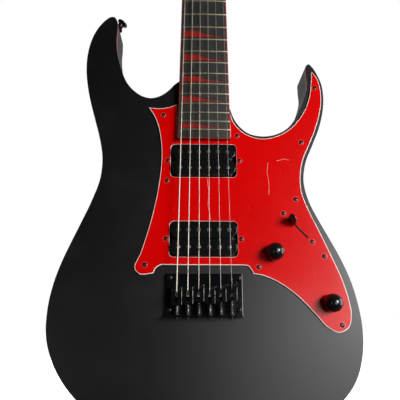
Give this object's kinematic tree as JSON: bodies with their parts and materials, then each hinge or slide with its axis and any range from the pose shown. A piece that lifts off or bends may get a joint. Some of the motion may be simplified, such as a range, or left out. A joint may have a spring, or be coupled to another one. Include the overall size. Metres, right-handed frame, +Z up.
{
  "type": "electric guitar",
  "caption": "Solid-body electric guitar with two horns, a bolt-on neck, twin-coil pickups under a red pickguard and a fixed bridge, upright and facing front.",
  "frame": {"origin": "centre line, nut end of the fretboard, on the flat front of the neck under the nut, where a wall hanger's yoke holds the neck", "axes": "+Z up the neck to the headstock, -Y out of the front towards the player's audience, -X the bass side"},
  "size_m": [0.3056, 0.0814, 0.9923],
  "materials": {
    "body": "black satin lacquer over a wood body",
    "body_binding": "red binding strip",
    "neck": "satin clear finish",
    "fretboard": "dark oiled wood with nickel silver frets",
    "fretboard_binding": "red binding strip",
    "nut": "black",
    "truss_rod": "plain",
    "truss_rod_cover": "gloss black",
    "neck_plate": "black plated",
    "pickguard": "gloss red over a white core",
    "neck_pickup_base": "black plated",
    "neck_pickup_bobbins": "black",
    "bridge_pickup_base": "black plated",
    "bridge_pickup_bobbins": "black",
    "volume_pot": "plain",
    "tone_pot": "plain",
    "volume_shaft": "plain",
    "tone_shaft": "plain",
    "volume_knob": "gloss black",
    "tone_knob": "gloss black",
    "switch_frame": "plain",
    "switch_lever": "plain",
    "switch_tip": "gloss black",
    "bridge_plate": "gloss black",
    "jack_plate": "black plated",
    "jack_socket": "plated",
    "strap_button_upper": "black plated",
    "strap_button_lower": "black plated",
    "saddle_1": "gloss black",
    "string_1": "bright wound or plain wire",
    "tuner_housing_1": "black plated",
    "tuner_post_1": "black plated",
    "tuner_key_1": "black plated",
    "saddle_2": "gloss black",
    "string_2": "bright wound or plain wire",
    "tuner_housing_2": "black plated",
    "tuner_post_2": "black plated",
    "tuner_key_2": "black plated",
    "saddle_3": "gloss black",
    "string_3": "bright wound or plain wire",
    "tuner_housing_3": "black plated",
    "tuner_post_3": "black plated",
    "tuner_key_3": "black plated",
    "saddle_4": "gloss black",
    "string_4": "bright wound or plain wire",
    "tuner_housing_4": "black plated",
    "tuner_post_4": "black plated",
    "tuner_key_4": "black plated",
    "saddle_5": "gloss black",
    "string_5": "bright wound or plain wire",
    "tuner_housing_5": "black plated",
    "tuner_post_5": "black plated",
    "tuner_key_5": "black plated",
    "saddle_6": "gloss black",
    "string_6": "bright wound or plain wire",
    "tuner_housing_6": "black plated",
    "tuner_post_6": "black plated",
    "tuner_key_6": "black plated"
  },
  "bodies": {
    "guitar": {"body": "body", "body_binding": "body_binding", "neck": "neck", "fretboard": "fretboard", "fretboard_binding": "fretboard_binding", "nut": "nut", "truss_rod": "truss_rod", "truss_rod_cover": "truss_rod_cover", "neck_plate": "neck_plate", "pickguard": "pickguard", "volume_pot": "volume_pot", "tone_pot": "tone_pot", "switch_frame": "switch_frame", "bridge_plate": "bridge_plate", "string_1": "string_1", "string_2": "string_2", "string_3": "string_3", "string_4": "string_4", "string_5": "string_5", "string_6": "string_6", "tuner_housing_1": "tuner_housing_1", "tuner_housing_2": "tuner_housing_2", "tuner_housing_3": "tuner_housing_3", "tuner_housing_4": "tuner_housing_4", "tuner_housing_5": "tuner_housing_5", "tuner_housing_6": "tuner_housing_6", "jack_socket": "jack_socket", "jack_plate": "jack_plate", "strap_button_upper": "strap_button_upper", "strap_button_lower": "strap_button_lower"},
    "neck_pickup": {"neck_pickup_base": "neck_pickup_base", "neck_pickup_bobbins": "neck_pickup_bobbins"},
    "bridge_pickup": {"bridge_pickup_base": "bridge_pickup_base", "bridge_pickup_bobbins": "bridge_pickup_bobbins"},
    "volume": {"volume_shaft": "volume_shaft", "volume_knob": "volume_knob"},
    "tone": {"tone_shaft": "tone_shaft", "tone_knob": "tone_knob"},
    "switch": {"switch_lever": "switch_lever", "switch_tip": "switch_tip"},
    "saddle_1": {"saddle_1": "saddle_1"},
    "saddle_2": {"saddle_2": "saddle_2"},
    "saddle_3": {"saddle_3": "saddle_3"},
    "saddle_4": {"saddle_4": "saddle_4"},
    "saddle_5": {"saddle_5": "saddle_5"},
    "saddle_6": {"saddle_6": "saddle_6"},
    "key_1": {"tuner_key_1": "tuner_key_1"},
    "key_2": {"tuner_key_2": "tuner_key_2"},
    "key_3": {"tuner_key_3": "tuner_key_3"},
    "key_4": {"tuner_key_4": "tuner_key_4"},
    "key_5": {"tuner_key_5": "tuner_key_5"},
    "key_6": {"tuner_key_6": "tuner_key_6"},
    "post_1": {"tuner_post_1": "tuner_post_1"},
    "post_2": {"tuner_post_2": "tuner_post_2"},
    "post_3": {"tuner_post_3": "tuner_post_3"},
    "post_4": {"tuner_post_4": "tuner_post_4"},
    "post_5": {"tuner_post_5": "tuner_post_5"},
    "post_6": {"tuner_post_6": "tuner_post_6"}
  },
  "joints": [
    {"name": "neck_pickup_height", "type": "slide", "parent": "guitar", "child": "neck_pickup", "axis": [0, -1, 0], "range_m": [-0.002, 0.002]},
    {"name": "bridge_pickup_height", "type": "slide", "parent": "guitar", "child": "bridge_pickup", "axis": [0, -1, 0], "range_m": [-0.002, 0.002]},
    {"name": "volume_turn", "type": "hinge", "parent": "guitar", "child": "volume", "pos_m": [0.07, -0.008, -0.6164], "axis": [0, -1, 0], "range_deg": [0, 280]},
    {"name": "tone_turn", "type": "hinge", "parent": "guitar", "child": "tone", "pos_m": [0.1232, -0.008, -0.6656], "axis": [0, -1, 0], "range_deg": [0, 280]},
    {"name": "switch_swing", "type": "hinge", "parent": "guitar", "child": "switch", "pos_m": [0.0953, 0.026, -0.5904], "axis": [0.7278, 0, 0.6858], "range_deg": [0, 31.4]},
    {"name": "saddle_1_slide", "type": "slide", "parent": "guitar", "child": "saddle_1", "axis": [0, 0, 1], "range_m": [-0.0025, 0.003]},
    {"name": "saddle_2_slide", "type": "slide", "parent": "guitar", "child": "saddle_2", "axis": [0, 0, 1], "range_m": [-0.0025, 0.003]},
    {"name": "saddle_3_slide", "type": "slide", "parent": "guitar", "child": "saddle_3", "axis": [0, 0, 1], "range_m": [-0.0025, 0.003]},
    {"name": "saddle_4_slide", "type": "slide", "parent": "guitar", "child": "saddle_4", "axis": [0, 0, 1], "range_m": [-0.0025, 0.003]},
    {"name": "saddle_5_slide", "type": "slide", "parent": "guitar", "child": "saddle_5", "axis": [0, 0, 1], "range_m": [-0.0025, 0.003]},
    {"name": "saddle_6_slide", "type": "slide", "parent": "guitar", "child": "saddle_6", "axis": [0, 0, 1], "range_m": [-0.0025, 0.003]},
    {"name": "key_1_turn", "type": "hinge", "parent": "guitar", "child": "key_1", "pos_m": [-0.02246, 0.02444, 0.0225], "axis": [-0.962, 0.0615, 0.2662], "continuous": true},
    {"name": "key_2_turn", "type": "hinge", "parent": "guitar", "child": "key_2", "pos_m": [-0.01536, 0.03006, 0.04686], "axis": [-0.962, 0.0615, 0.2662], "continuous": true},
    {"name": "key_3_turn", "type": "hinge", "parent": "guitar", "child": "key_3", "pos_m": [-0.00826, 0.03569, 0.07122], "axis": [-0.962, 0.0615, 0.2662], "continuous": true},
    {"name": "key_4_turn", "type": "hinge", "parent": "guitar", "child": "key_4", "pos_m": [-0.00116, 0.04131, 0.09558], "axis": [-0.962, 0.0615, 0.2662], "continuous": true},
    {"name": "key_5_turn", "type": "hinge", "parent": "guitar", "child": "key_5", "pos_m": [0.00594, 0.04693, 0.11994], "axis": [-0.962, 0.0615, 0.2662], "continuous": true},
    {"name": "key_6_turn", "type": "hinge", "parent": "guitar", "child": "key_6", "pos_m": [0.01304, 0.05256, 0.1443], "axis": [-0.962, 0.0615, 0.2662], "continuous": true},
    {"name": "post_1_turn", "type": "hinge", "parent": "guitar", "child": "post_1", "pos_m": [-0.02085, 0.0073, 0.03228], "axis": [0, -0.9744, 0.225], "continuous": true},
    {"name": "post_2_turn", "type": "hinge", "parent": "guitar", "child": "post_2", "pos_m": [-0.01375, 0.01292, 0.05664], "axis": [0, -0.9744, 0.225], "continuous": true},
    {"name": "post_3_turn", "type": "hinge", "parent": "guitar", "child": "post_3", "pos_m": [-0.00665, 0.01855, 0.081], "axis": [0, -0.9744, 0.225], "continuous": true},
    {"name": "post_4_turn", "type": "hinge", "parent": "guitar", "child": "post_4", "pos_m": [0.00045, 0.02417, 0.10536], "axis": [0, -0.9744, 0.225], "continuous": true},
    {"name": "post_5_turn", "type": "hinge", "parent": "guitar", "child": "post_5", "pos_m": [0.00755, 0.02979, 0.12972], "axis": [0, -0.9744, 0.225], "continuous": true},
    {"name": "post_6_turn", "type": "hinge", "parent": "guitar", "child": "post_6", "pos_m": [0.01465, 0.03542, 0.15408], "axis": [0, -0.9744, 0.225], "continuous": true}
  ],
  "couplings": [
    {"joint": "post_1_turn", "follows": "key_1_turn", "ratio": 0.066667},
    {"joint": "post_2_turn", "follows": "key_2_turn", "ratio": 0.066667},
    {"joint": "post_3_turn", "follows": "key_3_turn", "ratio": 0.066667},
    {"joint": "post_4_turn", "follows": "key_4_turn", "ratio": 0.066667},
    {"joint": "post_5_turn", "follows": "key_5_turn", "ratio": 0.066667},
    {"joint": "post_6_turn", "follows": "key_6_turn", "ratio": 0.066667}
  ]
}
